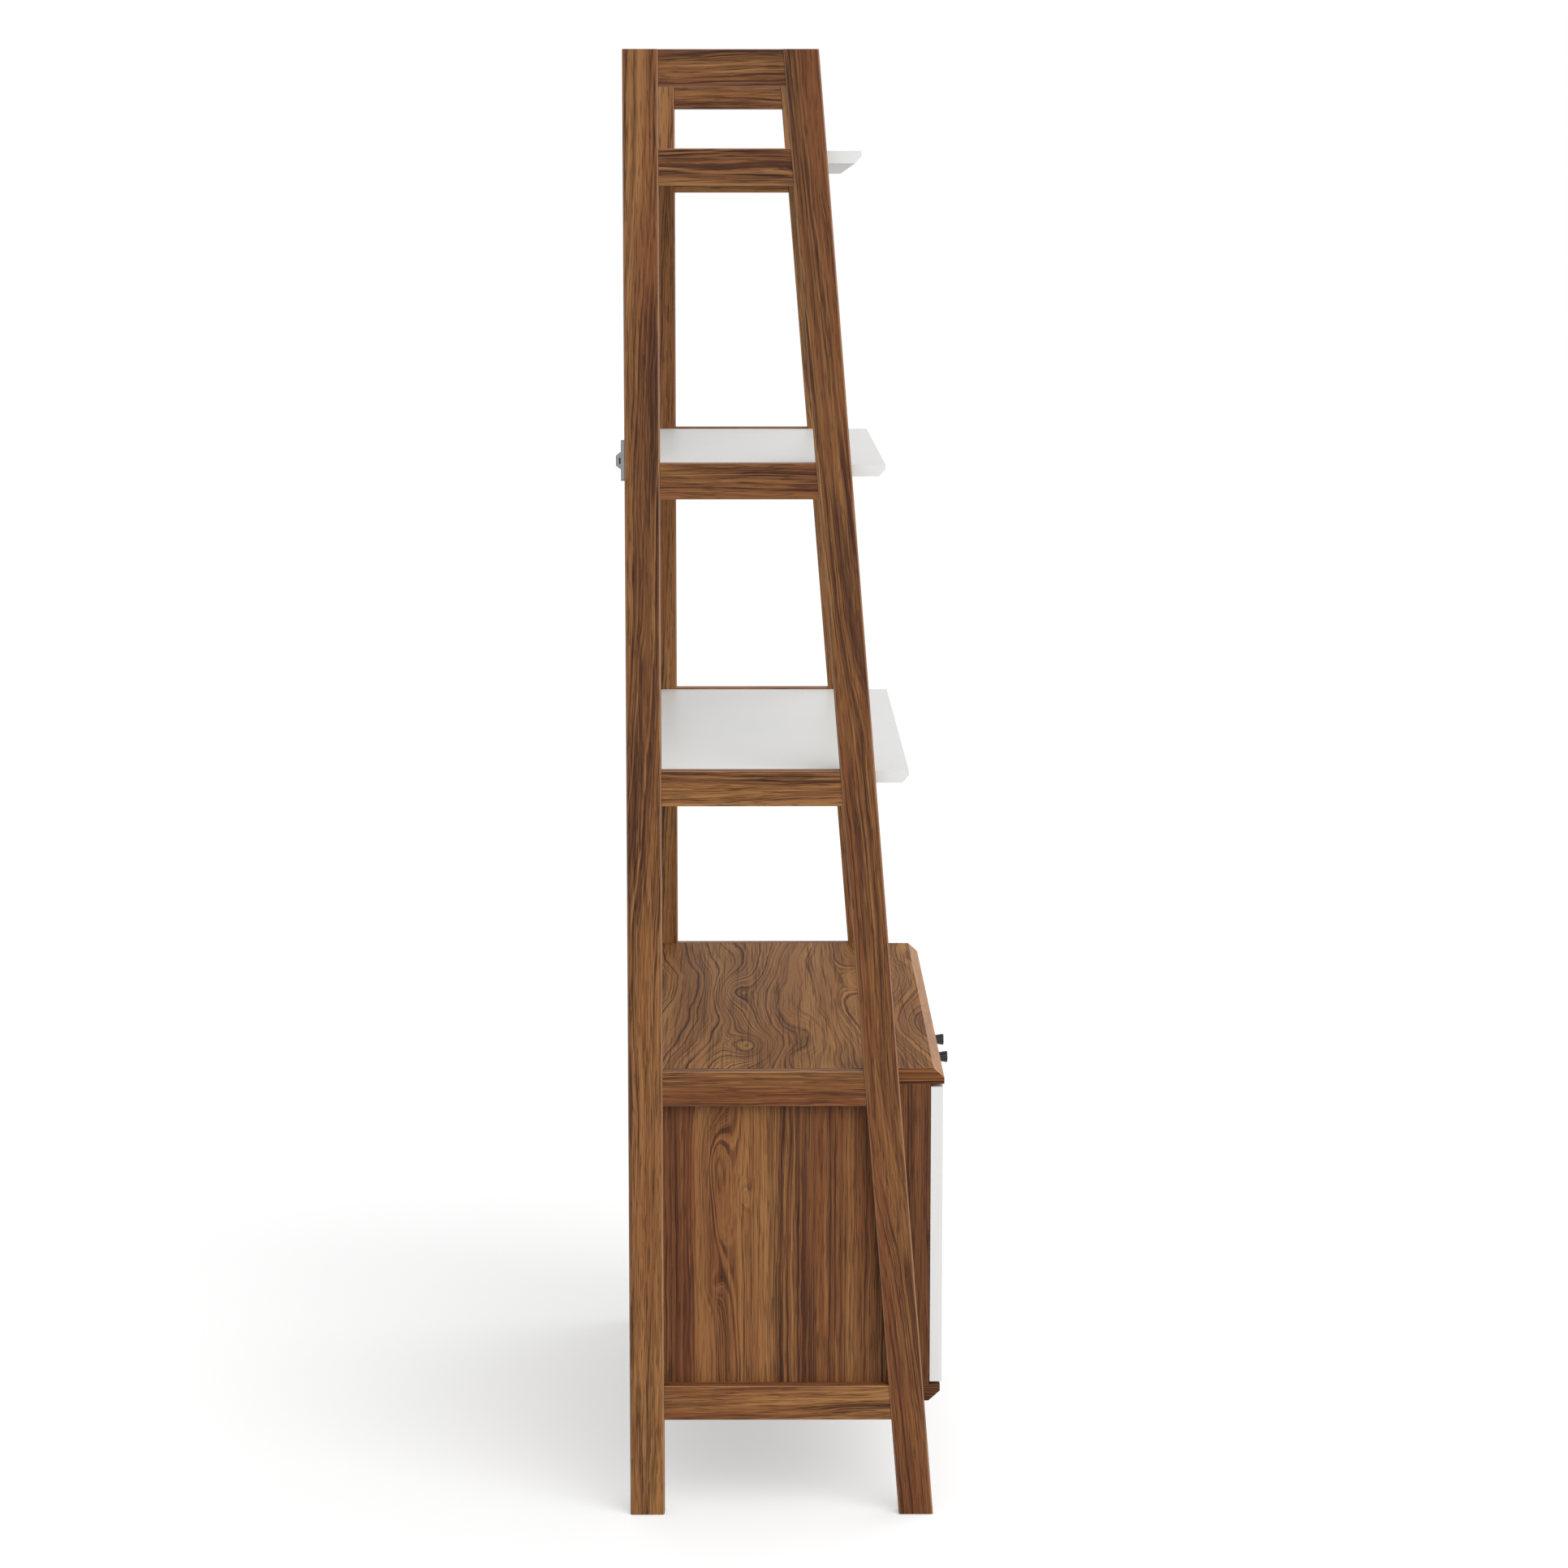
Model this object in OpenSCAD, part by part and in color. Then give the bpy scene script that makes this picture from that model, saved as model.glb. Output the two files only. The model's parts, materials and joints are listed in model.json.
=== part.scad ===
// Ladder shelf: two leaning side frames, three white open shelves and a
// two-door walnut cabinet. Millimetres. X is the width, the front faces -Y and
// Z is up. The origin is on the floor, under the middle of the whole object.

/* [Overall size] */
// Height from the floor to the tops of the legs
total_h = 1816; // [1780:1:1860]
// Width over the two side frames
total_w = 838; // [780:1:900]
// Depth of a side frame at the floor
base_d = 381; // [375:1:388]
// Depth of a side frame at the top
top_d = 235; // [220:1:250]

/* [Side frames] */
// Width of a leg, seen from the side
leg_w = 43; // [40:1:46]
// Thickness of a leg, seen from the front
leg_t = 20; // [19:0.5:22]
// Height of a rail
rail_h = 44; // [42:1:46]
// Thickness of a rail
rail_t = 18; // [16:0.5:18.5]
// Radius of the long edges of the legs
leg_edge_r = 3; // [1.5:0.5:4]
// Radius of the long edges of the rails
rail_edge_r = 1.5; // [0.5:0.5:3]
// Height of the middle of the rail that holds the upper shelf
upper_rail_z = 1677; // [1660:1:1690]
// Height step from one shelf rail to the next
rail_step = 376.5; // [370:0.5:380]
// Height of the middle of the bottom rail
bottom_rail_z = 144.5; // [140:0.5:160]

/* [Shelves] */
// Thickness of a white shelf
shelf_t = 15; // [15:0.5:16]
// How far a white shelf stands out in front of the front legs
shelf_lip = 42; // [30:1:50]
// Depth of the white shelves' top faces below the tops of their rails
shelf_drop = 2.5; // [1:0.5:4]

/* [Cabinet] */
// Thickness of the cabinet top
cab_top_t = 20; // [18:0.5:22]
// Thickness of the cabinet bottom
cab_bottom_t = 21; // [18:0.5:22]
// Thickness of a side panel
side_t = 16; // [15:0.5:16]
// Thickness of a door
door_t = 15; // [15:0.5:16]
// Gap above and below the doors
door_gap = 4; // [3:0.5:5]
// Gap between the two doors
middle_gap = 3; // [2:0.5:4]
// Thickness of the back panel
back_t = 5; // [3:0.5:6]
// Thickness of the loose shelf inside the cabinet
inner_shelf_t = 15; // [12:0.5:18]

/* [Knobs] */
// Length of a knob from the door to its tip
knob_l = 23; // [18:1:26]
// Diameter of a knob at its tip
knob_tip_dia = 15; // [12:0.5:16]
// Diameter of a knob at the door
knob_base_dia = 11; // [8:0.5:11]
// Distance of each knob from the middle of the cabinet
knob_x = 52; // [40:1:70]
// Distance of the knobs below the tops of the doors
knob_drop = 41.5; // [30:0.5:60]

/* [Wall bracket] */
// Height of the bracket plate
bracket_h = 49; // [46:1:54]
// Width of the bracket plate
bracket_w = 16; // [14:1:18]
// Thickness of the bracket plate
bracket_t = 4.3; // [3:0.1:5]
// How far the strap bridge stands out behind the legs
bridge_out = 10.3; // [9:0.1:12]

/* [Hidden] */
$fn = 48;
EPS = 0.01;
CUT = 60;                 // overshoot of cutting blocks
FIT = 0.05;               // clearance round a pin, dowel or screw

// Side frames
frame_x = total_w / 2 - leg_t;           // inner face of a side frame
slope = (base_d - top_d) / total_h;      // lean of the front legs
lean = atan(slope);
top_rail_z = total_h - rail_h / 2;
middle_rail_z = upper_rail_z - rail_step;
lower_rail_z = middle_rail_z - rail_step;
cabinet_rail_z = lower_rail_z - rail_step;
RAIL_Z = [top_rail_z, upper_rail_z, middle_rail_z, lower_rail_z, cabinet_rail_z, bottom_rail_z];
dowel_r = 4;
dowel_l = 40;
dowel_step = 11;          // dowels above and below a rail's middle line

// Boards
board_back = 2;           // rear edge of the white shelves, from the leg backs
bevel_run = 8;
bevel_rise = 9;
cab_top_front = base_d + 12;
cab_top_bevel = [13.5, 12];                        // run and rise
cab_bottom_front = base_d + 8.5;
cab_bottom_bevel = [14.5, 13];
side_front = base_d - 5.3;
cab_top_z = cabinet_rail_z + rail_h / 2;           // upper face of the top
cab_bottom_z = bottom_rail_z + rail_h / 2 - 4;     // upper face of the bottom
under_top_z = cab_top_z - cab_top_t;
inner_x = frame_x - side_t;                        // inner face of a side panel
inner_shelf_z = (cab_bottom_z + under_top_z) / 2;
inner_shelf_front = side_front - 28;

// Cam fittings that hold the boards between the frames
cam_r = 7.5;
cam_depth = 12;
cam_in = 34;              // cam centre from the end of a board
bolt_r = 2.5;
bolt_in_rail = 11;
bolt_bore_r = 4;
cam_back = 75;            // rear fittings, from the leg backs
cam_front_in = 30;        // front fittings, behind the front legs
// [middle height, thickness] of every board held by cam fittings
BOARDS = [
    for (z = [upper_rail_z, middle_rail_z, lower_rail_z])
        [z + rail_h / 2 - shelf_drop - shelf_t / 2, shelf_t],
    [cab_top_z - cab_top_t / 2, cab_top_t],
    [cab_bottom_z - cab_bottom_t / 2, cab_bottom_t]
];

// Cabinet dowels, shelf pins and nails
panel_dowel_r = 3;
panel_dowel_l = 24;
PANEL_DOWEL_D = [45, 165, 330];
pin_r = 2.5;
pin_hole_l = 9;
pin_out = 8;
PIN_D = [50, 310];
PIN_STEPS = [-64, -32, 0, 32, 64];
nail_r = 0.8;
nail_l = 20;
nail_head_r = 2;
nail_head_t = 0.6;
NAIL_X = [60, 180, 300, 375];
back_margin = 2;          // back panel's edge from the frames
inner_back = back_t + 3;  // rear edge of the loose shelf

// Doors and hinges
pivot_d = side_front + 0.8;               // back faces of the closed doors
door_z0 = cab_bottom_z + door_gap;
door_z1 = under_top_z - door_gap;
door_h = door_z1 - door_z0;
hinge_in = 72;                            // hinges from a door's top and bottom
HINGE_Z = [door_z0 + hinge_in, door_z1 - hinge_in];
cup_in = 22.5;                            // cup centre from the door's edge
cup_r = 17.5;
cup_depth = 11.5;
cup_wall = 1.2;
flange_t = 1.2;
flange_x = [17.5, 34];                    // reach of the flange from the pivot
ear_z = 23;                               // cup screws above and below a hinge
ear_x = cup_in + 3;
screw_r = 1.8;
screw_head_r = 3.4;
screw_head_t = 0.9;
cup_screw_l = 11;
plate_screw_l = 12;
plate_z = 16;                             // plate screws above and below a hinge
plate_t = 1.5;
plate_d = [-58, -24];                     // plate behind the pivot, back to front
plate_mid = (plate_d[0] + plate_d[1]) / 2;
arm_in = 12;                              // depth of the arm's channel
arm_z = 7.5;                              // half height of the arm
arm_wall = 1.5;
arm_gap = 2.5;                            // arm's front end behind the pivot
arm_x = -side_t - plate_t - arm_in;       // arm's inner face, from the pivot
arm_screw_l = 9;
link_z = 5;                               // half height of a hinge link
link_t = 1.5;
LINK_R = [20.5, 23];                      // inner radii of the two links
link_from = -30;
link_to = 22;

// Knobs, catches and wall brackets
knob_z = door_z1 - knob_drop;
knob_screw_r = 2;
knob_thread_l = 12;
knob_head_r = 4;
knob_head_t = 2.2;
door_front = pivot_d + door_t;
catch_l = 56;
catch_w = 20;
catch_h = 12;
magnet_x = 16;            // magnets to each side of the middle
magnet_w = 14;
magnet_h = 6;
strike_t = 1.2;
strike_x = [7, 25];
strike_h = 16;
bracket_x = frame_x + leg_t / 2;
bracket_z = middle_rail_z + rail_h / 2 + 3;
bridge_h = 21;
bridge_top_h = 12;
slot_h = 7.6;
slot_t = 2.2;
bracket_screw_z = 18;
bracket_screw_l = 18;
bracket_screw_r = 1.9;
bracket_head_r = 3.6;
bracket_head_t = 1.4;

// Whole depth, from the strap bridges to the knob tips, is centred on Y
back_y = (door_front + knob_l - bridge_out) / 2;

function leg_front(z) = base_d - slope * z;
function leg_inside(z) = leg_front(z) - leg_w / cos(lean);

// Places a piece drawn with +X outward from the middle and +Y forward from the
// backs of the legs: side 1 is the right side and side -1 is the left side.
module at_side(side) {
    translate([0, back_y, 0]) mirror([0, 1, 0]) mirror([side < 0 ? 1 : 0, 0, 0]) children();
}

module both_sides() {
    at_side(-1) children();
    at_side(1) children();
}

module rounded_rect(w, h, r) {
    translate([r, 0]) square([w - 2 * r, h]);
    translate([0, r]) square([w, h - 2 * r]);
    for (x = [r, w - r], y = [r, h - r]) translate([x, y]) circle(r);
}

// A cylinder along +X, and one along +Y
module rod_x(r, l) { rotate([0, 90, 0]) cylinder(r = r, h = l); }
module rod_y(r, l) { rotate([-90, 0, 0]) cylinder(r = r, h = l); }

// A cross-head screw along +Z, with its head below z = 0
module screw(r, l, head_r, head_t) {
    slot_l = 1.15 * head_r;
    slot_w = 0.28 * head_r;
    difference() {
        union() {
            cylinder(r = r, h = l);
            translate([0, 0, -head_t]) cylinder(r1 = 0.75 * head_r, r2 = head_r, h = head_t);
        }
        for (a = [0, 90]) rotate(a)
            translate([-slot_l / 2, -slot_w / 2, -head_t - EPS]) cube([slot_l, slot_w, 0.75 * head_t]);
    }
}

module screw_x(r, l, head_r, head_t) { rotate([0, 90, 0]) screw(r, l, head_r, head_t); }
module screw_y(r, l, head_r, head_t) { rotate([-90, 0, 0]) screw(r, l, head_r, head_t); }

// Dowels across one rail end, which lies at depth d
module rail_dowels(z, d, r, l) {
    for (k = [-1, 1])
        translate([frame_x + rail_t / 2, d - l / 2, z + k * dowel_step]) rod_y(r, l);
}

module all_rail_dowels(r, l) {
    for (z = RAIL_Z) {
        rail_dowels(z, leg_w, r, l);
        rail_dowels(z, leg_inside(z), r, l);
    }
}

// Positions of the cam fittings of a board whose middle is at height z
function cam_depths(z) = [cam_back, leg_inside(z) - cam_front_in];

module rear_leg(side) {
    color("#5b3c2c") at_side(side) difference() {
        translate([frame_x, 0, 0]) linear_extrude(total_h) rounded_rect(leg_t, leg_w, leg_edge_r);
        all_rail_dowels(dowel_r, dowel_l + 2);
        translate([bracket_x, 0, bracket_z]) bracket_screw_holes();
    }
}

module front_leg(side) {
    color("#5b3c2c") at_side(side) difference() {
        intersection() {
            translate([frame_x, base_d, 0]) rotate([lean, 0, 0]) translate([0, -leg_w, -CUT])
                linear_extrude(total_h + 2 * CUT) rounded_rect(leg_t, leg_w, leg_edge_r);
            cube([total_w, 2 * base_d, total_h]);
        }
        all_rail_dowels(dowel_r, dowel_l + 2);
    }
}

module rail(side, z) {
    color("#5b3c2c") at_side(side) difference() {
        translate([frame_x, base_d, z - rail_h / 2]) rotate([90, 0, 0])
            linear_extrude(base_d - leg_w) rounded_rect(rail_t, rail_h, rail_edge_r);
        translate([0, base_d, 0]) rotate([lean, 0, 0])
            translate([0, -leg_w, -CUT]) cube([total_w, base_d, total_h + 2 * CUT]);
        all_rail_dowels(dowel_r, dowel_l + 2);
        cam_bolt_holes();
    }
}

module frame_dowels() {
    color("#d9bd8f") both_sides() all_rail_dowels(dowel_r - FIT, dowel_l);
}

// Blind holes for the cam bolts in the inner faces of the rails
module cam_bolt_holes() {
    for (b = BOARDS, d = cam_depths(b[0]))
        translate([frame_x - EPS, d, b[0]]) rod_x(bolt_r, bolt_in_rail + 1);
}

// Bores and cam pockets in both ends of a board with its middle at height z
module cam_drilling(z, t) {
    for (m = [0, 1], d = cam_depths(z)) mirror([m, 0, 0]) {
        translate([frame_x - cam_in, d, z]) rod_x(bolt_bore_r, cam_in + 1);
        translate([frame_x - cam_in, d, z - t / 2 - EPS]) cylinder(r = cam_r, h = cam_depth);
    }
}

// A board across the whole width: its side outline is drawn by the child
module board(half_w) {
    at_side(1) translate([-half_w, 0, 0]) rotate([90, 0, 90]) linear_extrude(2 * half_w) children();
}

module white_shelf(rail_z) {
    top = rail_z + rail_h / 2 - shelf_drop;
    low = top - shelf_t;
    front = leg_front(top) + shelf_lip;
    color("#f2f2f0") difference() {
        board(frame_x) polygon([
            [board_back, low], [front - bevel_run, low], [front, low + bevel_rise],
            [front, top], [board_back, top]
        ]);
        at_side(1) cam_drilling(top - shelf_t / 2, shelf_t);
    }
}

module cabinet_top() {
    color("#6a4936") difference() {
        board(frame_x) polygon([
            [back_t, under_top_z], [cab_top_front, under_top_z],
            [cab_top_front, cab_top_z - cab_top_bevel[1]],
            [cab_top_front - cab_top_bevel[0], cab_top_z], [back_t, cab_top_z]
        ]);
        at_side(1) cam_drilling(cab_top_z - cab_top_t / 2, cab_top_t);
        both_sides() panel_dowels(under_top_z, panel_dowel_r, panel_dowel_l + 1);
    }
}

module cabinet_bottom() {
    low = cab_bottom_z - cab_bottom_t;
    color("#63432f") difference() {
        board(frame_x) polygon([
            [back_t, low], [cab_bottom_front - cab_bottom_bevel[0], low],
            [cab_bottom_front, low + cab_bottom_bevel[1]],
            [cab_bottom_front, cab_bottom_z], [back_t, cab_bottom_z]
        ]);
        at_side(1) cam_drilling(cab_bottom_z - cab_bottom_t / 2, cab_bottom_t);
        both_sides() panel_dowels(cab_bottom_z, panel_dowel_r, panel_dowel_l + 1);
    }
}

module cam_bolts() {
    color("#b9bcc0") both_sides() for (b = BOARDS, d = cam_depths(b[0]))
        translate([frame_x - cam_in, d, b[0]]) {
            rod_x(bolt_r - FIT, cam_in + bolt_in_rail);
            rod_x(bolt_r + 1, 4);
        }
}

module cam_nuts() {
    slot_w = 1.6;
    color("#a7a9ac") both_sides() for (b = BOARDS, d = cam_depths(b[0]))
        translate([frame_x - cam_in, d, b[0] - b[1] / 2]) difference() {
            cylinder(r = cam_r - FIT, h = cam_depth - 0.5);
            translate([0, 0, b[1] / 2]) rod_x(bolt_bore_r, cam_r + 1);
            for (a = [0, 90]) rotate(a)
                translate([-cam_r / 2, -slot_w / 2, -EPS]) cube([cam_r, slot_w, 2]);
        }
}

// Upright dowels between a side panel and the board at height z
module panel_dowels(z, r, l) {
    for (d = PANEL_DOWEL_D) translate([frame_x - side_t / 2, d, z - l / 2]) cylinder(r = r, h = l);
}

module cabinet_dowels() {
    color("#d9bd8f") both_sides() for (z = [cab_bottom_z, under_top_z])
        panel_dowels(z, panel_dowel_r - FIT, panel_dowel_l - 2);
}

module side_panel(side) {
    color("#5e3f2d") at_side(side) difference() {
        translate([inner_x, back_t, cab_bottom_z])
            cube([side_t, side_front - back_t, under_top_z - cab_bottom_z]);
        for (z = [cab_bottom_z, under_top_z]) panel_dowels(z, panel_dowel_r, panel_dowel_l + 1);
        for (d = PIN_D, k = PIN_STEPS)
            translate([inner_x - EPS, d, inner_shelf_z - inner_shelf_t / 2 - pin_r + k])
                rod_x(pin_r, pin_hole_l + 1);
        for (z = HINGE_Z) at_pivot(z) plate_screw_pair(screw_r + FIT, plate_t + plate_screw_l + 1);
    }
}

module back_panel() {
    half = frame_x - back_margin;
    color("#7d5b44") at_side(1)
        translate([-half, 0, cab_bottom_z - cab_bottom_t + back_margin])
            cube([2 * half, back_t, cab_top_z - cab_bottom_z + cab_bottom_t - 2 * back_margin]);
}

// Nails round the edge of the back panel
module back_panel_nails() {
    rows = [cab_bottom_z - cab_bottom_t / 2, cab_top_z - cab_top_t / 2];
    color("#8d8f92") both_sides() {
        for (z = rows, x = NAIL_X) translate([x, 0, z]) nail();
        for (k = [1:3])
            translate([frame_x - side_t / 2, 0, rows[0] + k * (rows[1] - rows[0]) / 4]) nail();
    }
}

module nail() {
    translate([0, -nail_head_t, 0]) rod_y(nail_head_r, nail_head_t);
    rod_y(nail_r, nail_l);
}

module inner_shelf() {
    half = inner_x - 0.8;
    color("#6a4936") at_side(1) translate([-half, inner_back, inner_shelf_z - inner_shelf_t / 2])
        cube([2 * half, inner_shelf_front - inner_back, inner_shelf_t]);
}

module shelf_pins() {
    color("#c3c5c8") both_sides() for (d = PIN_D)
        translate([inner_x, d, inner_shelf_z - inner_shelf_t / 2 - pin_r]) {
            translate([-pin_out, 0, 0]) rod_x(pin_r - FIT, pin_out + pin_hole_l);
            translate([-1.5, 0, -0.8]) rod_x(pin_r + 0.8, 1.5);
        }
}

// Moves a hinge piece to the pivot line of a door, at a hinge's height
module at_pivot(z) { translate([frame_x, pivot_d, z]) children(); }

module door(side) {
    color("#f2f2f0") at_side(side) difference() {
        translate([middle_gap / 2, pivot_d, door_z0])
            cube([frame_x - middle_gap / 2, door_t, door_h]);
        for (z = HINGE_Z) at_pivot(z) {
            translate([-cup_in, -EPS, 0]) rod_y(cup_r, cup_depth);
            cup_screw_rods(screw_r + FIT, cup_screw_l + 1);
        }
        translate([knob_x, pivot_d - 1, knob_z]) rod_y(knob_screw_r + FIT, door_t + 2);
    }
}

module cup_screw_rods(r, l) {
    for (k = [-1, 1]) translate([-ear_x, -flange_t - EPS, k * ear_z]) rod_y(r, l);
}

module hinge_cups(side) {
    flange_w = flange_x[1] - flange_x[0];
    color("#b9bcc0") at_side(side) for (z = HINGE_Z) at_pivot(z) difference() {
        union() {
            translate([-cup_in, 0, 0]) rod_y(cup_r - FIT, cup_depth - 0.1);
            translate([-flange_x[1], -flange_t, -ear_z - 5]) cube([flange_w, flange_t, 2 * ear_z + 10]);
        }
        translate([-cup_in, -flange_t - 1, 0])
            rod_y(cup_r - cup_wall, cup_depth - cup_wall + flange_t + 1);
        cup_screw_rods(screw_r + FIT, cup_screw_l);
    }
}

module cup_screws(side) {
    color("#c3c5c8") at_side(side) for (z = HINGE_Z, k = [-1, 1]) at_pivot(z)
        translate([-ear_x, -flange_t, k * ear_z])
            screw_y(screw_r, cup_screw_l, screw_head_r, screw_head_t);
}

// A curved strap that turns about the pivot line, inner radius r
module link_strap(r) {
    reach = 2 * r;
    intersection() {
        difference() {
            translate([0, 0, -link_z]) cylinder(r = r + link_t, h = 2 * link_z);
            translate([0, 0, -link_z - 1]) cylinder(r = r, h = 2 * link_z + 2);
        }
        translate([0, 0, -link_z - 2]) linear_extrude(2 * link_z + 4) polygon(concat(
            [[0, 0]],
            [for (a = [link_from, (link_from + link_to) / 2, link_to]) reach * [-cos(a), sin(a)]]
        ));
    }
}

module links(side, r) {
    color("#b9bcc0") at_side(side) for (z = HINGE_Z) at_pivot(z) link_strap(r);
}

// Channel arm that covers the links and clips over the mounting plate
module hinge_arms(side) {
    arm_l = -plate_d[0] - arm_gap + 2;
    color("#c3c5c8") at_side(side) for (z = HINGE_Z) at_pivot(z) difference() {
        translate([arm_x, -arm_gap - arm_l, -arm_z]) cube([arm_in, arm_l, 2 * arm_z]);
        translate([arm_x + arm_wall, -arm_gap - arm_l - 1, -arm_z + arm_wall])
            cube([arm_in, arm_l + 2, 2 * (arm_z - arm_wall)]);
        arm_screw_hole();
    }
}

module hinge_plates(side) {
    boss = arm_in - arm_wall - 0.5;
    boss_z = arm_z - arm_wall - 0.4;
    plate_l = plate_d[1] - plate_d[0];
    wing_l = 14;
    color("#b9bcc0") at_side(side) for (z = HINGE_Z) at_pivot(z) difference() {
        union() {
            translate([-side_t - plate_t, plate_d[0], -arm_z]) cube([plate_t, plate_l, 2 * arm_z]);
            translate([-side_t - plate_t, plate_d[0] + (plate_l - wing_l) / 2, -plate_z - 6])
                cube([plate_t, wing_l, 2 * plate_z + 12]);
            translate([-side_t - plate_t - boss, plate_d[0], -boss_z])
                cube([boss + 0.5, plate_l, 2 * boss_z]);
        }
        plate_screw_pair(screw_r + FIT, plate_t + 2);
        arm_screw_hole();
    }
}

module arm_screw_hole() {
    translate([arm_x - 1, plate_mid, 0]) rod_x(screw_r + FIT, arm_screw_l + 2);
}

// Screws of one mounting plate, starting at its outer face
module plate_screw_pair(r, l) {
    for (k = [-1, 1])
        translate([-side_t - plate_t - EPS, plate_mid, k * plate_z]) rod_x(r, l);
}

module hinge_plate_screws() {
    color("#c3c5c8") both_sides() for (z = HINGE_Z, k = [-1, 1]) at_pivot(z)
        translate([-side_t - plate_t, plate_mid, k * plate_z])
            screw_x(screw_r, plate_t + plate_screw_l, screw_head_r, screw_head_t);
}

// Screws that hold the arms on the bosses of their plates
module hinge_arm_screws() {
    color("#c3c5c8") both_sides() for (z = HINGE_Z) at_pivot(z)
        translate([arm_x, plate_mid, 0]) screw_x(screw_r, arm_screw_l, screw_head_r, screw_head_t);
}

// Flared knob: its radius grows with the square of the distance from the door
module knob(side) {
    r0 = knob_base_dia / 2;
    r1 = knob_tip_dia / 2;
    tip = 2.2;
    round_r = 1.2;
    flare = knob_l - tip;
    color("#1c1c1e") at_side(side) translate([knob_x, door_front, knob_z]) rotate([-90, 0, 0])
        rotate_extrude() difference() {
            polygon(concat(
                [[0, 0]],
                [for (k = [0:8]) [r0 + (r1 - r0) * pow(k / 8, 2), flare * k / 8]],
                [for (a = [0:15:90])
                    [r1 - round_r + round_r * cos(a), knob_l - round_r + round_r * sin(a)]],
                [[0, knob_l]]
            ));
            square([knob_screw_r, knob_thread_l]);
        }
}

module knob_screw(side) {
    color("#c3c5c8") at_side(side) translate([knob_x, pivot_d, knob_z])
        screw_y(knob_screw_r - FIT, door_t + knob_thread_l - 1, knob_head_r, knob_head_t);
}

module magnet_catches() {
    front = pivot_d - strike_t - 0.5;
    color("#e8e8e6") at_side(1) difference() {
        translate([-catch_l / 2, front - catch_w, under_top_z - catch_h])
            cube([catch_l, catch_w, catch_h]);
        for (x = [-magnet_x, magnet_x])
            translate([x - magnet_w / 2, front - 1, under_top_z - (catch_h + magnet_h) / 2])
                cube([magnet_w, 2, magnet_h]);
    }
}

module strike_plate(side) {
    color("#b9bcc0") at_side(side) translate([strike_x[0], pivot_d - strike_t, door_z1 - strike_h])
        cube([strike_x[1] - strike_x[0], strike_t, strike_h - 1]);
}

// Screw holes through the bracket plate, with recesses for the heads
module bracket_screw_holes() {
    for (k = [-1, 1]) translate([0, -bracket_t, k * bracket_screw_z]) {
        rod_y(bracket_screw_r + FIT, bracket_head_t + bracket_screw_l + 1);
        translate([0, -1, 0]) rod_y(bracket_head_r + FIT, bracket_head_t + 1);
    }
}

// Plate with a bridge for a wall strap: the strap slot runs across the leg
module wall_bracket(side) {
    half = bracket_w / 2;
    foot = -bracket_t + EPS;
    color("#8b8e92") at_side(side) translate([bracket_x, 0, bracket_z]) difference() {
        union() {
            translate([-half, 0, -bracket_h / 2]) rotate([90, 0, 0])
                linear_extrude(bracket_t) rounded_rect(bracket_w, bracket_h, 3);
            translate([-half, 0, 0]) rotate([90, 0, 90]) linear_extrude(bracket_w) polygon([
                [foot, -bridge_h / 2], [foot, bridge_h / 2],
                [-bridge_out, bridge_top_h / 2], [-bridge_out, -bridge_top_h / 2]
            ]);
        }
        translate([-half - 1, -bracket_t - slot_t, -slot_h / 2]) cube([bracket_w + 2, slot_t, slot_h]);
        bracket_screw_holes();
    }
}

module wall_bracket_screws() {
    color("#c3c5c8") both_sides() translate([bracket_x, 0, bracket_z]) for (k = [-1, 1])
        translate([0, bracket_head_t - bracket_t, k * bracket_screw_z])
            screw_y(bracket_screw_r, bracket_screw_l, bracket_head_r, bracket_head_t);
}

// Nylon tie seated in the strap slot of each bracket
module wall_ties() {
    color("#141414") both_sides()
        translate([bracket_x - bracket_w / 2, -bracket_t - slot_t + FIT, bracket_z - slot_h / 2 + FIT])
            cube([bracket_w, slot_t - 2 * FIT, slot_h - 2 * FIT]);
}

rear_leg(-1);  // left_rear_leg
front_leg(-1);  // left_front_leg
rail(-1, top_rail_z);  // left_top_rail
rail(-1, upper_rail_z);  // left_upper_rail
rail(-1, middle_rail_z);  // left_middle_rail
rail(-1, lower_rail_z);  // left_lower_rail
rail(-1, cabinet_rail_z);  // left_cabinet_rail
rail(-1, bottom_rail_z);  // left_bottom_rail
rear_leg(1);  // right_rear_leg
front_leg(1);  // right_front_leg
rail(1, top_rail_z);  // right_top_rail
rail(1, upper_rail_z);  // right_upper_rail
rail(1, middle_rail_z);  // right_middle_rail
rail(1, lower_rail_z);  // right_lower_rail
rail(1, cabinet_rail_z);  // right_cabinet_rail
rail(1, bottom_rail_z);  // right_bottom_rail
frame_dowels();
white_shelf(upper_rail_z);  // upper_shelf
white_shelf(middle_rail_z);  // middle_shelf
white_shelf(lower_rail_z);  // lower_shelf
cam_bolts();
cam_nuts();
cabinet_top();
cabinet_bottom();
side_panel(-1);  // left_side_panel
side_panel(1);  // right_side_panel
cabinet_dowels();
back_panel();
back_panel_nails();
inner_shelf();
shelf_pins();
door(-1);  // left_door
door(1);  // right_door
knob(-1);  // left_knob
knob(1);  // right_knob
knob_screw(-1);  // left_knob_screw
knob_screw(1);  // right_knob_screw
hinge_cups(-1);  // left_hinge_cups
hinge_cups(1);  // right_hinge_cups
cup_screws(-1);  // left_cup_screws
cup_screws(1);  // right_cup_screws
links(-1, LINK_R[0]);  // left_inner_links
links(1, LINK_R[0]);  // right_inner_links
links(-1, LINK_R[1]);  // left_outer_links
links(1, LINK_R[1]);  // right_outer_links
hinge_arms(-1);  // left_hinge_arms
hinge_arms(1);  // right_hinge_arms
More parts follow.
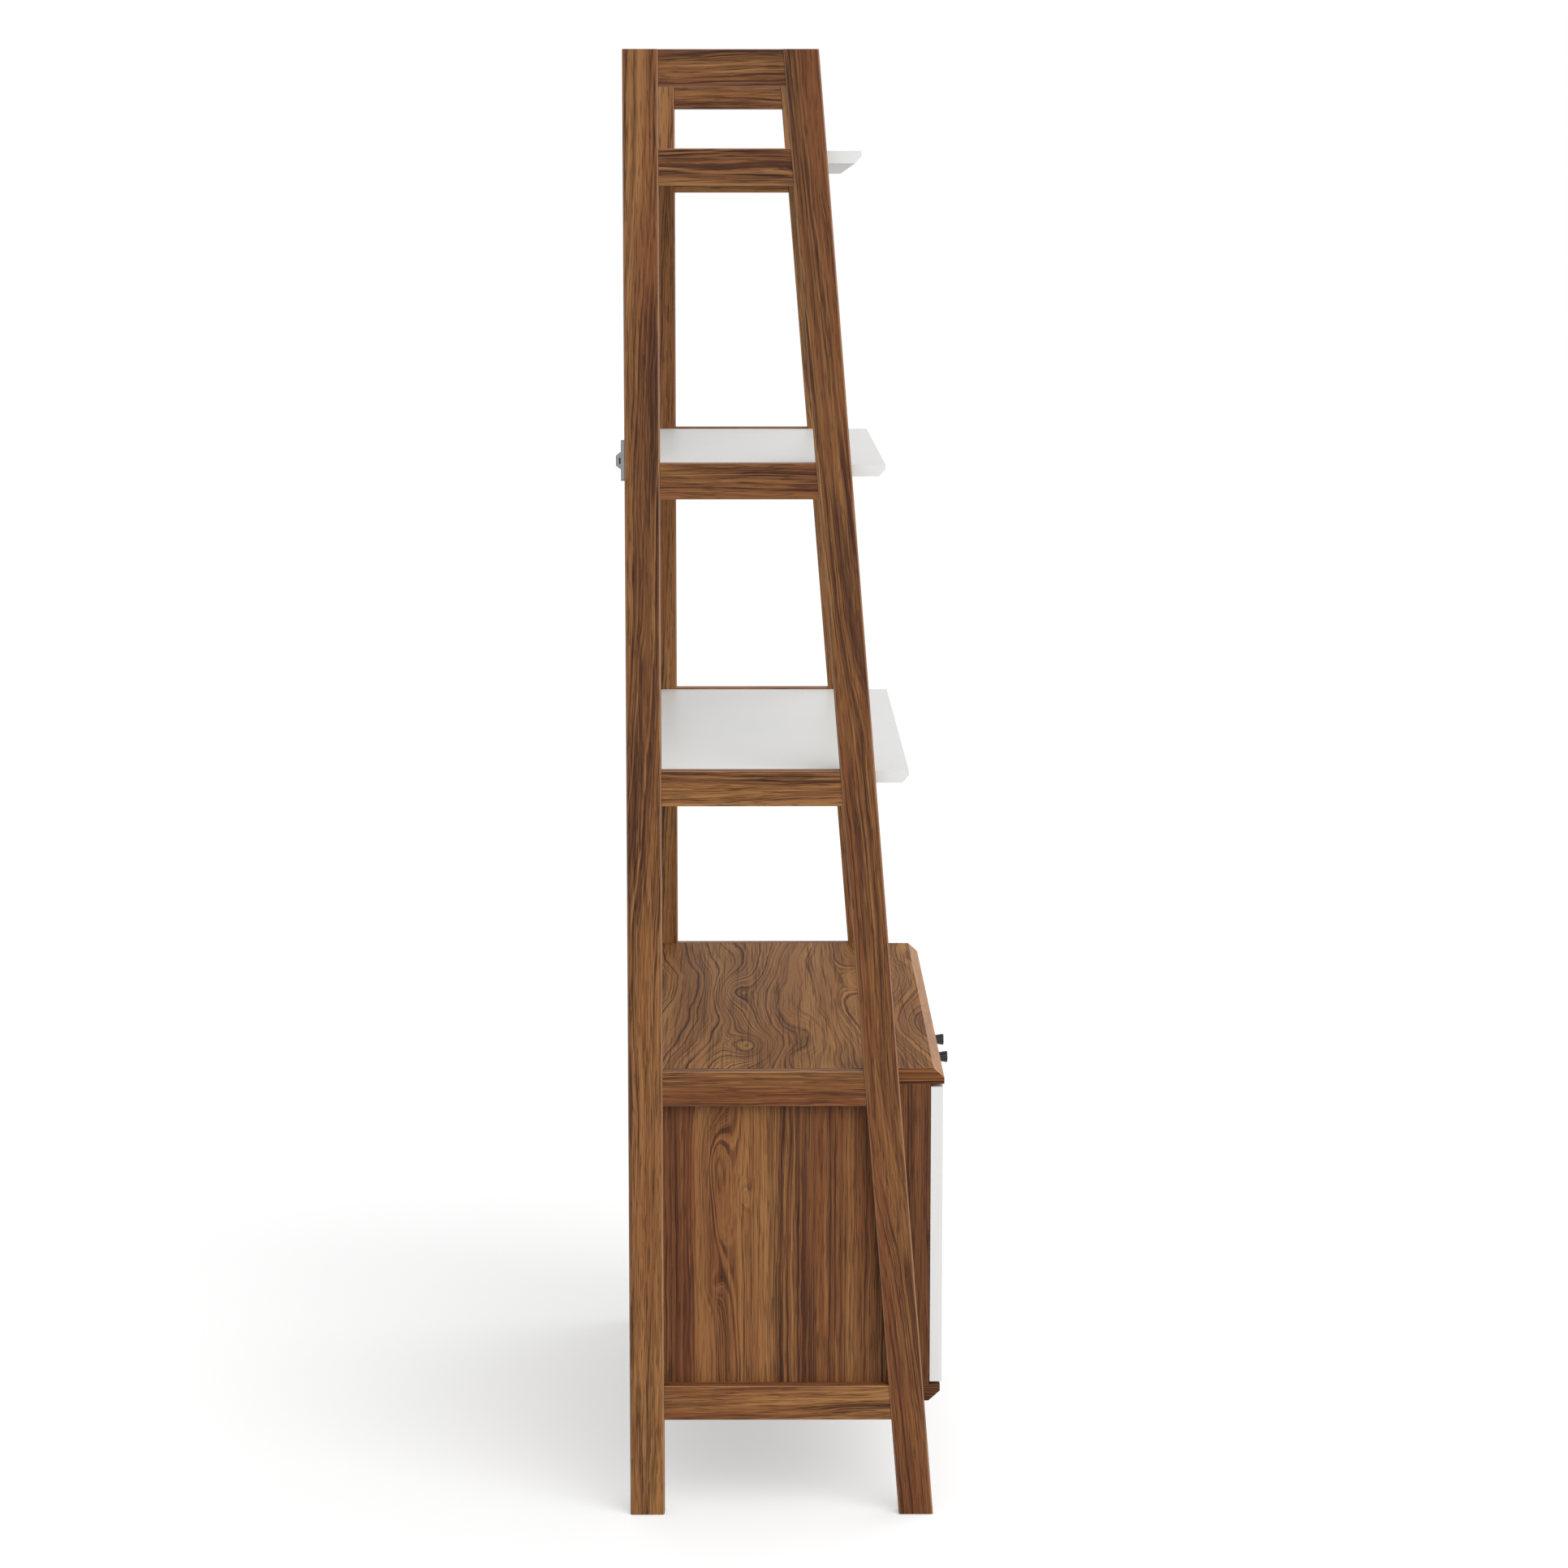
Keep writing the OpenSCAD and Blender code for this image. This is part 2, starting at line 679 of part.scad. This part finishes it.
hinge_plates(-1);  // left_hinge_plates
hinge_plates(1);  // right_hinge_plates
hinge_plate_screws();
hinge_arm_screws();
magnet_catches();
strike_plate(-1);  // left_strike_plate
strike_plate(1);  // right_strike_plate
wall_bracket(-1);  // left_wall_bracket
wall_bracket(1);  // right_wall_bracket
wall_bracket_screws();
wall_ties();
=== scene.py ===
"""Ladder shelf: camera, light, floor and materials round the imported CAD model."""

import json
import math

import bpy
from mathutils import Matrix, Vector


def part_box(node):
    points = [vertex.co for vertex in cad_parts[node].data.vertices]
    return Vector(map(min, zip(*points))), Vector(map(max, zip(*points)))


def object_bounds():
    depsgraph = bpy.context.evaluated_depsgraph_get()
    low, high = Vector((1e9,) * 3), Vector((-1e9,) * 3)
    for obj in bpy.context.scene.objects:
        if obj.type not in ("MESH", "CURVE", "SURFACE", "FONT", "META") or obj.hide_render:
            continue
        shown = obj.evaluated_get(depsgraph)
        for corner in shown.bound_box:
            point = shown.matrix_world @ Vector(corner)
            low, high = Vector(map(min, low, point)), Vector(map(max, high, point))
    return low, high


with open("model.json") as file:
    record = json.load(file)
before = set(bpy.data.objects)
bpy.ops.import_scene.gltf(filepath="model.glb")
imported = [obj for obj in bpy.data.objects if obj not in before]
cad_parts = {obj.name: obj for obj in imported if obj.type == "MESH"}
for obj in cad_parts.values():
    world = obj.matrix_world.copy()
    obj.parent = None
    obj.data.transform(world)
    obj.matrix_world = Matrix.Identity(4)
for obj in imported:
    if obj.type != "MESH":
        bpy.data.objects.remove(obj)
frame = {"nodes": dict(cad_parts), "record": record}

cad_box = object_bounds()
nodes = frame["nodes"]
scene = bpy.context.scene

SIDES = ("left", "right")
RAILS = ("top", "upper", "middle", "lower", "cabinet", "bottom")
SHELVES = ("upper", "middle", "lower")

X, Y, Z = Vector((1, 0, 0)), Vector((0, 1, 0)), Vector((0, 0, 1))


# ---------------------------------------------------------------- camera

CAMERA_PLACE = Vector((-4.797, 0.036, 1.602))   # metres, in the row frame
CAMERA_PITCH = math.radians(7.731)              # below the horizon
CAMERA_YAW = math.radians(-0.355)               # from +X towards +Y
CAMERA_LENS = 83.05
CAMERA_SHIFT = -0.04


def make_camera():
    data = bpy.data.cameras.new("camera")
    data.lens = CAMERA_LENS
    data.shift_y = CAMERA_SHIFT
    data.clip_start, data.clip_end = 0.1, 100
    camera = bpy.data.objects.new("camera", data)
    scene.collection.objects.link(camera)
    level = math.cos(CAMERA_PITCH)
    towards = Vector((
        level * math.cos(CAMERA_YAW),
        level * math.sin(CAMERA_YAW),
        -math.sin(CAMERA_PITCH),
    ))
    camera.rotation_euler = towards.to_track_quat("-Z", "Y").to_euler()
    camera.location = CAMERA_PLACE
    scene.camera = camera


# ---------------------------------------------------------------- node helpers

def rgb(red, green, blue):
    """Screen colour, 0 to 255, as the linear colour that a shader takes."""
    def linear(c):
        c /= 255
        return c / 12.92 if c <= 0.04045 else ((c + 0.055) / 1.055) ** 2.4
    return (linear(red), linear(green), linear(blue), 1.0)


class Graph:
    """Short calls for building one material's nodes."""

    def __init__(self, name):
        self.material = bpy.data.materials.new(name)
        self.material.use_nodes = True
        self.tree = self.material.node_tree
        self.tree.nodes.clear()
        self.surface = self.tree.nodes.new("ShaderNodeBsdfPrincipled")
        output = self.tree.nodes.new("ShaderNodeOutputMaterial")
        self.tree.links.new(self.surface.outputs["BSDF"], output.inputs["Surface"])

    def put(self, node, socket, value):
        if isinstance(value, bpy.types.NodeSocket):
            self.tree.links.new(value, node.inputs[socket])
        else:
            node.inputs[socket].default_value = value

    def shade(self, **values):
        for name, value in values.items():
            self.put(self.surface, name.replace("_", " "), value)

    def place(self):
        return self.tree.nodes.new("ShaderNodeTexCoord").outputs["Object"]

    def math(self, operation, a, b=0.0):
        node = self.tree.nodes.new("ShaderNodeMath")
        node.operation = operation
        self.put(node, 0, a)
        self.put(node, 1, b)
        return node.outputs[0]

    def total(self, *terms):
        """Sum of (factor, value) pairs."""
        result = self.math("MULTIPLY", terms[0][1], terms[0][0])
        for factor, value in terms[1:]:
            result = self.math("ADD", result, self.math("MULTIPLY", value, factor))
        return result

    def dot(self, vector, direction):
        node = self.tree.nodes.new("ShaderNodeVectorMath")
        node.operation = "DOT_PRODUCT"
        self.put(node, 0, vector)
        self.put(node, 1, direction)
        return node.outputs["Value"]

    def vector(self, x, y, z):
        node = self.tree.nodes.new("ShaderNodeCombineXYZ")
        for socket, value in enumerate((x, y, z)):
            self.put(node, socket, value)
        return node.outputs[0]

    def stretch(self, vector, scale, offset=(0, 0, 0)):
        node = self.tree.nodes.new("ShaderNodeMapping")
        self.put(node, "Vector", vector)
        self.put(node, "Scale", scale)
        self.put(node, "Location", offset)
        return node.outputs[0]

    def noise(self, vector, scale=1.0, detail=2.0, rough=0.5):
        node = self.tree.nodes.new("ShaderNodeTexNoise")
        self.put(node, "Vector", vector)
        self.put(node, "Scale", scale)
        self.put(node, "Detail", detail)
        self.put(node, "Roughness", rough)
        return node.outputs["Fac"]

    def line_noise(self, value, scale, detail=2.0, rough=0.5):
        node = self.tree.nodes.new("ShaderNodeTexNoise")
        node.noise_dimensions = "1D"
        self.put(node, "W", value)
        self.put(node, "Scale", scale)
        self.put(node, "Detail", detail)
        self.put(node, "Roughness", rough)
        return node.outputs["Fac"]

    def remap(self, value, low, high, to_low=0.0, to_high=1.0):
        node = self.tree.nodes.new("ShaderNodeMapRange")
        node.interpolation_type = "SMOOTHSTEP"
        for socket, number in enumerate((value, low, high, to_low, to_high)):
            self.put(node, socket, number)
        return node.outputs[0]

    def ramp(self, value, stops):
        node = self.tree.nodes.new("ShaderNodeValToRGB")
        points = node.color_ramp.elements
        while len(points) < len(stops):
            points.new(0.5)
        for point, (place, colour) in zip(points, stops):
            point.position, point.color = place, colour
        self.put(node, "Fac", value)
        return node.outputs["Color"]

    def mix(self, factor, a, b):
        node = self.tree.nodes.new("ShaderNodeMix")
        node.data_type = "RGBA"
        self.put(node, 0, factor)
        self.put(node, 6, a)
        self.put(node, 7, b)
        return node.outputs[2]

    def normal(self):
        return self.tree.nodes.new("ShaderNodeTexCoord").outputs["Normal"]

    def split(self, vector):
        node = self.tree.nodes.new("ShaderNodeSeparateXYZ")
        self.put(node, 0, vector)
        return tuple(node.outputs)

    def grey(self, colour):
        node = self.tree.nodes.new("ShaderNodeRGBToBW")
        self.put(node, 0, colour)
        return node.outputs[0]

    def bump(self, height, distance, strength=1.0):
        node = self.tree.nodes.new("ShaderNodeBump")
        self.put(node, "Height", height)
        self.put(node, "Distance", distance)
        self.put(node, "Strength", strength)
        self.put(self.surface, "Normal", node.outputs[0])


def dress(node, material):
    """Gives a CAD node's object one material."""
    for slot in nodes[node].material_slots:
        slot.material = material


# ---------------------------------------------------------------- walnut

TONES = (
    (0.00, rgb(62, 37, 28)),
    (0.25, rgb(92, 55, 36)),
    (0.50, rgb(113, 72, 43)),
    (0.75, rgb(133, 90, 52)),
    (1.00, rgb(158, 113, 69)),
)
RED = rgb(112, 60, 34)
VEIN = rgb(54, 31, 23)
PORE = rgb(40, 23, 16)
# lighter tint for rounded edges: partly foil wear, partly a painted highlight for the light line the
# edges catch
EDGE_WEAR_AND_HIGHLIGHT = rgb(182, 143, 114)

# One figure of walnut. Each piece changes some of these values.
FIGURE = {
    "seed": 0.0,          # picks another piece of veneer
    "tone": 0.0,          # lighter above 0, darker below
    "tilt": 0.0,          # slope of the grain against the piece
    "sway": (0.030, 12, 2.0),     # slow wander of the grain: metres, waves per metre across and along
    "ripple": (0.0035, 55, 11),   # short waves in it, in the same terms
    "spacing": 165,       # fine veins per metre, more or less
    "width": 0.09,        # of a vein: how far the noise may be from its middle value
    "veins": 0.9,         # strength of the fine veins
    "streaks": 0.9,       # strength of the thick dark streaks
    "band": 0.9,          # tone difference between broad bands of grain
    "thread": 1.35,       # tone difference between fine threads
    "lines": 0.35,        # share of the threads that follow the grain exactly
    "short": 1.0,         # above 1 for shorter fibres
    "red": 0.4,           # share of the redder colour in patches
    "bands": (),          # (place across in metres, tone) for planks joined side by side
    "knots": (),          # (across, along, half width, half length, push), metres
    "rough": 0.46,
    "gloss": 0.14,        # specular level
}


SEED_STEP = (0.73, 0.31, 1.17)   # how far one unit of seed moves the noise, each way
END_FACING = 0.75                # a face that points along the grain more than this is an end face
END_SHIFT = 0.31                 # metres, so that an end face doesn't repeat the face beside it
DIAGONAL = math.sqrt(0.5)        # a 45 degree chamfer's normal, along two axes
PATCH, FIBRE = 0.5, 0.6          # tone difference between large patches, and between single fibres
END_DARKER = 0.22
MIDDLE_TONE = 0.58               # place in TONES of a figure whose tone is 0


def bell(g, u, w, knot):
    """A push on the grain round one knot, fading outwards."""
    across, along, half_width, half_length, push = knot
    du = g.math("DIVIDE", g.math("SUBTRACT", u, across), half_width)
    dw = g.math("DIVIDE", g.math("SUBTRACT", w, along), half_length)
    far = g.math("ADD", g.math("MULTIPLY", du, du), g.math("MULTIPLY", dw, dw))
    return g.math("MULTIPLY", g.math("POWER", math.e, g.math("MULTIPLY", far, -1.0)), push)


def ridge(g, value, width):
    """1 where a noise value is at its middle, 0 away from there: a thin line."""
    away = g.math("ABSOLUTE", g.math("SUBTRACT", value, 0.5))
    return g.remap(away, 0.0, width, 1.0, 0.0)


def walnut(name, centre, along, across, **figure):
    """Walnut foil. The grain is a field across the piece that wanders along it.
    Thin veins, thick streaks and tone bands all follow that one field. End faces carry a strip
    with its grain across, and rounded edges are painted lighter: partly wear, partly a painted
    highlight."""
    f = {**FIGURE, **figure}
    g = Graph(name)
    p = g.place()
    through = along.cross(across)
    axes = (across, through, along)
    facing = [g.math("ABSOLUTE", g.dot(g.normal(), axis)) for axis in axes]
    end = g.math("GREATER_THAN", facing[2], END_FACING)
    u, v, w = (g.math("SUBTRACT", g.dot(p, axis), centre.dot(axis)) for axis in axes)
    local = g.mix(end, g.vector(u, v, w), g.vector(g.math("ADD", v, END_SHIFT), w, u))
    u, v, w = g.split(local)
    start = tuple(step * f["seed"] for step in SEED_STEP)

    def grain(across_scale, along_scale, detail=1.0, rough=0.5):
        scale = (across_scale, across_scale, along_scale)
        moved = tuple(s * o for s, o in zip(scale, start))
        return g.noise(g.stretch(local, scale, moved), detail=detail, rough=rough)

    sway, ripple = f["sway"], f["ripple"]
    field = g.total(
        (1.0, u), (0.7, v), (f["tilt"], w),
        (2 * sway[0], grain(*sway[1:])),
        (2 * ripple[0], grain(*ripple[1:], 1.0)),
        (0.0022, grain(240, 26)),
        (1.0, f["seed"]),
    )
    for knot in f["knots"]:
        field = g.math("ADD", field, bell(g, u, w, knot))

    band = g.line_noise(field, 30, 1.0)
    patch = grain(26, 1.7, 2.0)
    short = f["short"]
    thread = g.total(
        (1 - f["lines"], grain(300, 8 * short, 2.0, 0.7)),
        (f["lines"], g.line_noise(field, 210, 2.0, 0.7)))
    fibre = grain(820, 20 * short, 2.0, 0.6)
    noise_mean = 0.5 * (f["band"] + PATCH + f["thread"] + FIBRE)
    tone = g.total(
        (f["band"], band), (PATCH, patch), (f["thread"], thread), (FIBRE, fibre), (-END_DARKER, end),
        (1.0, f["tone"] - noise_mean + MIDDLE_TONE))
    if f["bands"]:
        low, high = f["bands"][0][0], f["bands"][-1][0]
        wavy = g.total((1.0, u), (0.006, grain(20, 9)))
        place = g.math("DIVIDE", g.math("SUBTRACT", wavy, low), high - low)
        stops = [((at - low) / (high - low), (t + 0.5,) * 3 + (1.0,)) for at, t in f["bands"]]
        tone = g.math("ADD", tone, g.math("SUBTRACT", g.grey(g.ramp(place, stops)), 0.5))
    colour = g.ramp(tone, TONES)

    redness = g.remap(grain(20, 1.3), 0.40, 0.62)
    colour = g.mix(g.math("MULTIPLY", redness, f["red"]), colour, RED)

    vein = ridge(g, g.line_noise(field, f["spacing"], 2.0, 0.6), f["width"])
    vein = g.math("MULTIPLY", vein, g.remap(grain(60, 5 * short, 2.0), 0.36, 0.56, 0.25, 1.0))
    vein = g.math("MULTIPLY", vein, g.remap(tone, 0.6, 0.95, 1.0, 0.35))
    streak = ridge(g, g.line_noise(g.math("ADD", field, 5.3), 30, 4.0, 0.6), 0.04)
    streak = g.math("MULTIPLY", streak, g.remap(grain(16, 2.2, 1.0), 0.38, 0.54))
    streak = g.math("MULTIPLY", streak, g.remap(thread, 0.3, 0.62, 1.0, 0.45))
    colour = g.mix(g.math("MULTIPLY", vein, f["veins"]), colour, VEIN)
    colour = g.mix(g.math("MULTIPLY", streak, f["streaks"]), colour, VEIN)

    pore = g.remap(grain(620, 34 * short), 0.56, 0.68)
    colour = g.mix(g.math("MULTIPLY", pore, 0.5), colour, PORE)
    flattest = g.math("MAXIMUM", g.math("MAXIMUM", facing[0], facing[1]), facing[2])
    off_diagonal = g.math("ABSOLUTE", g.math("SUBTRACT", flattest, DIAGONAL))
    rounded = g.math("GREATER_THAN", off_diagonal, 0.01)
    # painted highlight and wear: rounded edges are tinted lighter, and 45 degree chamfers get only a
    # little of it
    wear_and_highlight = g.math(
        "MULTIPLY",
        g.remap(flattest, 0.80, 0.98, 0.5, 0.0),
        g.remap(rounded, 0.0, 1.0, 0.08, 1.0))
    colour = g.mix(wear_and_highlight, colour, EDGE_WEAR_AND_HIGHLIGHT)
    g.shade(
        Base_Color=colour,
        Roughness=g.total((0.12, fibre), (0.08, pore), (f["rough"] - 0.06, 1.0)),
        Specular_IOR_Level=f["gloss"],
    )
    g.bump(g.total((1.0, fibre), (-1.5, pore), (-0.4, vein)), 0.00012, 0.5)
    return g.material


FRAME_SEED, FRAME_SEED_STEP = 3.7, 11.3
RIGHT_SIDE_PAINTED_LIGHT = 0.22          # painted light: the far side frame gets less light here, so its legs are toned lighter to look as lit as the near ones


def middle(node):
    low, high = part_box(node)
    return (low + high) / 2


def lean_of(node, depth):
    """Direction of a leaning leg of the given depth."""
    low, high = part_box(node)
    return Vector((0, high.y - low.y - depth, high.z - low.z)).normalized()


RAIL_FIGURES = {
    "top": {"tone": -0.05, "streaks": 1.0, "tilt": 0.03},
    "upper": {"tone": 0.24, "streaks": 0.8, "veins": 1.0, "red": 0.4},
    "middle": {"tone": 0.24, "streaks": 0.4, "red": 0.6},
    "lower": {"tone": 0.15, "streaks": 0.5, "tilt": -0.02},
    "cabinet": {"tone": 0.02, "streaks": 0.3, "red": 0.8, "veins": 0.6},
    "bottom": {"tone": 0.22, "streaks": 0.8, "tilt": 0.04},
}

# Planks joined side by side: (place across in metres, change of tone).
PANEL_BANDS = (
    (-0.185, -0.12), (-0.110, -0.10), (-0.104, 0.34), (-0.055, 0.26), (0.020, 0.15), (0.024, -0.06),
    (0.052, -0.06), (0.058, 0.18), (0.120, 0.12), (0.160, -0.10), (0.185, -0.10),
)
PANEL_KNOTS = (
    (-0.088, -0.063, 0.011, 0.022, 0.016),
    (-0.082, 0.020, 0.022, 0.095, 0.030),
    (-0.048, 0.050, 0.008, 0.018, 0.012),
    (-0.086, 0.105, 0.020, 0.060, 0.026),
)
TOP_BANDS = (
    (-0.197, -0.02), (-0.060, 0.02), (-0.055, 0.10), (0.022, 0.02), (0.026, -0.08),
    (0.100, -0.02), (0.104, 0.06), (0.150, 0.04), (0.155, -0.08), (0.197, -0.10),
)
TOP_KNOTS = (
    (0.045, -0.280, 0.030, 0.090, 0.070),
    (0.075, 0.060, 0.026, 0.120, -0.060),
    (-0.110, 0.150, 0.030, 0.120, 0.050),
)


def dress_side_frames():
    rear_low, rear_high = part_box("left_rear_leg")
    lean = lean_of("left_front_leg", rear_high.y - rear_low.y)
    for index, side in enumerate(SIDES):
        seed = FRAME_SEED + FRAME_SEED_STEP * index
        # paler is painted light: the right frame's legs get a lighter tone for light they lack
        paler = RIGHT_SIDE_PAINTED_LIGHT * index
        node = side + "_rear_leg"
        dress(node, walnut(
            node, middle(node), Z, Y, seed=seed + 1.5, tilt=0.05, tone=paler + 0.18))
        node = side + "_front_leg"
        dress(node, walnut(
            node, middle(node), lean, lean.cross(X), seed=seed + 6.3, tilt=-0.04, tone=paler + 0.05))
        for k, rail in enumerate(RAILS):
            node = f"{side}_{rail}_rail"
            dress(node, walnut(
                node, middle(node), Y, Z, seed=seed + 0.83 * (k + 4), thread=2.0, **RAIL_FIGURES[rail]))
        node = side + "_side_panel"
        dress(node, walnut(
            node, middle(node), Z, -Y, seed=31.7 + 5 * index, bands=PANEL_BANDS, knots=PANEL_KNOTS,
            sway=(0.012, 9, 1.2), streaks=0.6, band=0.6, lines=0.6, short=0.7))


def dress_cabinet():
    node = "cabinet_top"
    dress(node, walnut(
        node, middle(node), X, Y, seed=41.9, bands=TOP_BANDS, knots=TOP_KNOTS,
        sway=(0.085, 7, 1.6), ripple=(0.009, 8, 7.5), spacing=110, width=0.12,
        veins=1.0, streaks=0.3, band=0.7, thread=2.1, lines=0.95, short=0.2,
        tone=0.38, red=0.3, rough=0.55, gloss=0.06))
    for node, seed in (("cabinet_bottom", 45.1), ("inner_shelf", 48.3)):
        dress(node, walnut(node, middle(node), X, Y, seed=seed, tone=0.05))
    node = "back_panel"
    dress(node, walnut(node, middle(node), X, Z, seed=52.9, veins=0.4, streaks=0.4))


# ---------------------------------------------------------------- other materials

def lacquer(name, colour, gloss):
    """Satin lacquered board: a faint roller texture and slightly uneven sheen."""
    g = Graph(name)
    p = g.place()
    cloud = g.noise(p, 9, 2)
    grain = g.noise(p, 900, 2, 0.6)
    clouded = g.mix(g.math("MULTIPLY", cloud, 0.06), colour, rgb(196, 196, 190))
    g.shade(Base_Color=clouded, Roughness=g.total((0.08, cloud), (gloss, 1.0)))
    g.bump(grain, 0.00006, 0.35)
    return g.material


def moulded(name, colour, gloss):
    """Moulded plastic with a fine spark-eroded texture."""
    g = Graph(name)
    p = g.place()
    grain = g.noise(p, 1400, 3, 0.6)
    cloud = g.noise(p, 40, 2)
    paler = tuple(min(1.0, 1.35 * c) for c in colour[:3]) + (1.0,)
    g.shade(
        Base_Color=g.mix(g.math("MULTIPLY", cloud, 0.5), colour, paler),
        Roughness=g.total((0.12, grain), (gloss, 1.0)),
    )
    g.bump(grain, 0.00008, 0.4)
    return g.material


def metal(name, colour, gloss, lay=(1, 1, 1)):
    """Plated metal, with fine scratches stretched along the axis where lay is smallest."""
    g = Graph(name)
    p = g.place()
    scratch = g.noise(g.stretch(p, tuple(900 * s for s in lay)), detail=3, rough=0.7)
    cloud = g.noise(p, 60, 2)
    duller = tuple(0.72 * c for c in colour[:3]) + (1.0,)
    g.shade(
        Base_Color=g.mix(g.math("MULTIPLY", cloud, 0.6), colour, duller),
        Metallic=1.0,
        Roughness=g.total((0.22, scratch), (0.10, cloud), (gloss, 1.0)),
    )
    g.bump(scratch, 0.00003, 0.5)
    return g.material


def beech(name):
    """Turned beech dowel stock."""
    g = Graph(name)
    p = g.place()
    fleck = g.noise(g.stretch(p, (1500, 260, 1500)), detail=2)
    g.shade(
        Base_Color=g.ramp(fleck, ((0.2, rgb(172, 132, 88)), (0.7, rgb(214, 180, 134)))),
        Roughness=g.total((0.2, fleck), (0.5, 1.0)),
    )
    g.bump(fleck, 0.0001, 0.4)
    return g.material


def dress_others():
    white = lacquer("white_lacquer", rgb(222, 222, 220), 0.36)
    for node in [s + "_shelf" for s in SHELVES] + [s + "_door" for s in SIDES]:
        dress(node, white)
    steel = metal("zinc_plated_steel", rgb(190, 194, 198), 0.26)
    nickel = metal("nickel_plated_steel", rgb(206, 203, 196), 0.2, lay=(1, 0.08, 1))
    zinc = metal("die_cast_zinc", rgb(160, 162, 165), 0.36)
    for slot, material in {
        "steel": steel,
        "nickel": nickel,
        "zinc": zinc,
        "beech": beech("beech"),
        "black_knob": moulded("black_knob", rgb(26, 26, 28), 0.26),
        "black_nylon": moulded("black_nylon", rgb(20, 20, 21), 0.5),
        "grey_bracket": moulded("grey_plastic", rgb(128, 129, 130), 0.45),
        "catch_plastic": moulded("white_plastic", rgb(226, 226, 222), 0.4),
    }.items():
        for part in frame["record"]["subparts"]:
            if part["material_slot"] == slot:
                dress(part["node"], material)


# ---------------------------------------------------------------- softened edges

SHELF_EDGE, CABINET_EDGE, DOOR_EDGE, PANEL_EDGE = 0.0008, 0.0007, 0.0009, 0.0005   # metres
WELD_WITHIN = 1e-5
SHARP_ANGLE = math.radians(28)


def soften(node, width):
    """Rounds a board's sharp edges. The weld only rejoins vertices that were split for shading."""
    piece = nodes[node]
    weld = piece.modifiers.new("weld", "WELD")
    weld.merge_threshold = WELD_WITHIN
    bevel = piece.modifiers.new("bevel", "BEVEL")
    bevel.limit_method = "ANGLE"
    bevel.angle_limit = SHARP_ANGLE
    bevel.width = width
    bevel.segments = 2
    normals = piece.modifiers.new("normals", "WEIGHTED_NORMAL")
    normals.keep_sharp = False


def soften_boards():
    for shelf in SHELVES:
        soften(shelf + "_shelf", SHELF_EDGE)
    for node in ("cabinet_top", "cabinet_bottom"):
        soften(node, CABINET_EDGE)
    for side in SIDES:
        soften(side + "_door", DOOR_EDGE)
        soften(side + "_side_panel", PANEL_EDGE)


# ---------------------------------------------------------------- stage and light

FLOOR_SIZE = 60.0
FLOOR_GREY = 0.6          # as a reflector of light onto the part
FLOOR_GAP = 0.0005        # metres below the feet, so that the faces don't coincide
FLOOR_GLOW = 0.42         # only as the camera sees it: the floor reads as white paper
AMBIENT = 0.73            # light from all round
FRONT_BIAS = 0.20         # more of it from the front, less from the wall side
SUNS = (
    # name, from, strength, spread in degrees
    ("key", Vector((-0.75, -0.5, 0.65)), 1.85, 55),
    ("fill", Vector((0.5, -0.9, 0.4)), 0.7, 50),
)


def make_floor():
    half = FLOOR_SIZE / 2
    mesh = bpy.data.meshes.new("floor")
    corners = [(-half, -half, 0), (half, -half, 0), (half, half, 0), (-half, half, 0)]
    mesh.from_pydata(corners, [], [(0, 1, 2, 3)])
    floor = bpy.data.objects.new("floor", mesh)
    floor.location.z = cad_box[0].z - FLOOR_GAP
    scene.collection.objects.link(floor)
    g = Graph("floor")
    seen = g.tree.nodes.new("ShaderNodeLightPath").outputs["Is Camera Ray"]
    g.shade(
        Base_Color=(FLOOR_GREY, FLOOR_GREY, FLOOR_GREY, 1.0),
        Roughness=0.9,
        Specular_IOR_Level=0.1,
        Emission_Color=(1, 1, 1, 1),
        Emission_Strength=g.math("MULTIPLY", seen, FLOOR_GLOW),
    )
    mesh.materials.append(g.material)


def make_suns():
    for name, towards, strength, spread in SUNS:
        sun = bpy.data.lights.new(name, "SUN")
        sun.energy, sun.angle = strength, math.radians(spread)
        lamp = bpy.data.objects.new(name, sun)
        lamp.rotation_euler = towards.to_track_quat("Z", "Y").to_euler()
        scene.collection.objects.link(lamp)


def make_world():
    """Plain white backdrop. As a light it is stronger towards the front."""
    world = bpy.data.worlds.new("studio")
    scene.world = world
    world.use_nodes = True
    tree = world.node_tree
    tree.nodes.clear()
    direction = tree.nodes.new("ShaderNodeTexCoord")
    split = tree.nodes.new("ShaderNodeSeparateXYZ")
    tree.links.new(direction.outputs["Generated"], split.inputs[0])
    strength = tree.nodes.new("ShaderNodeMath")
    strength.operation = "MULTIPLY_ADD"
    tree.links.new(split.outputs["Y"], strength.inputs[0])
    strength.inputs[1].default_value = -FRONT_BIAS
    strength.inputs[2].default_value = AMBIENT
    seen = tree.nodes.new("ShaderNodeLightPath")
    choose = tree.nodes.new("ShaderNodeMix")
    tree.links.new(seen.outputs["Is Camera Ray"], choose.inputs[0])
    tree.links.new(strength.outputs[0], choose.inputs[2])
    choose.inputs[3].default_value = 1.0
    glow = tree.nodes.new("ShaderNodeBackground")
    glow.inputs["Color"].default_value = (1, 1, 1, 1)
    tree.links.new(choose.outputs[0], glow.inputs["Strength"])
    output = tree.nodes.new("ShaderNodeOutputWorld")
    tree.links.new(glow.outputs[0], output.inputs["Surface"])
    scene.view_settings.view_transform = "Standard"


make_camera()
make_floor()
make_suns()
make_world()
dress_side_frames()
dress_cabinet()
dress_others()
soften_boards()
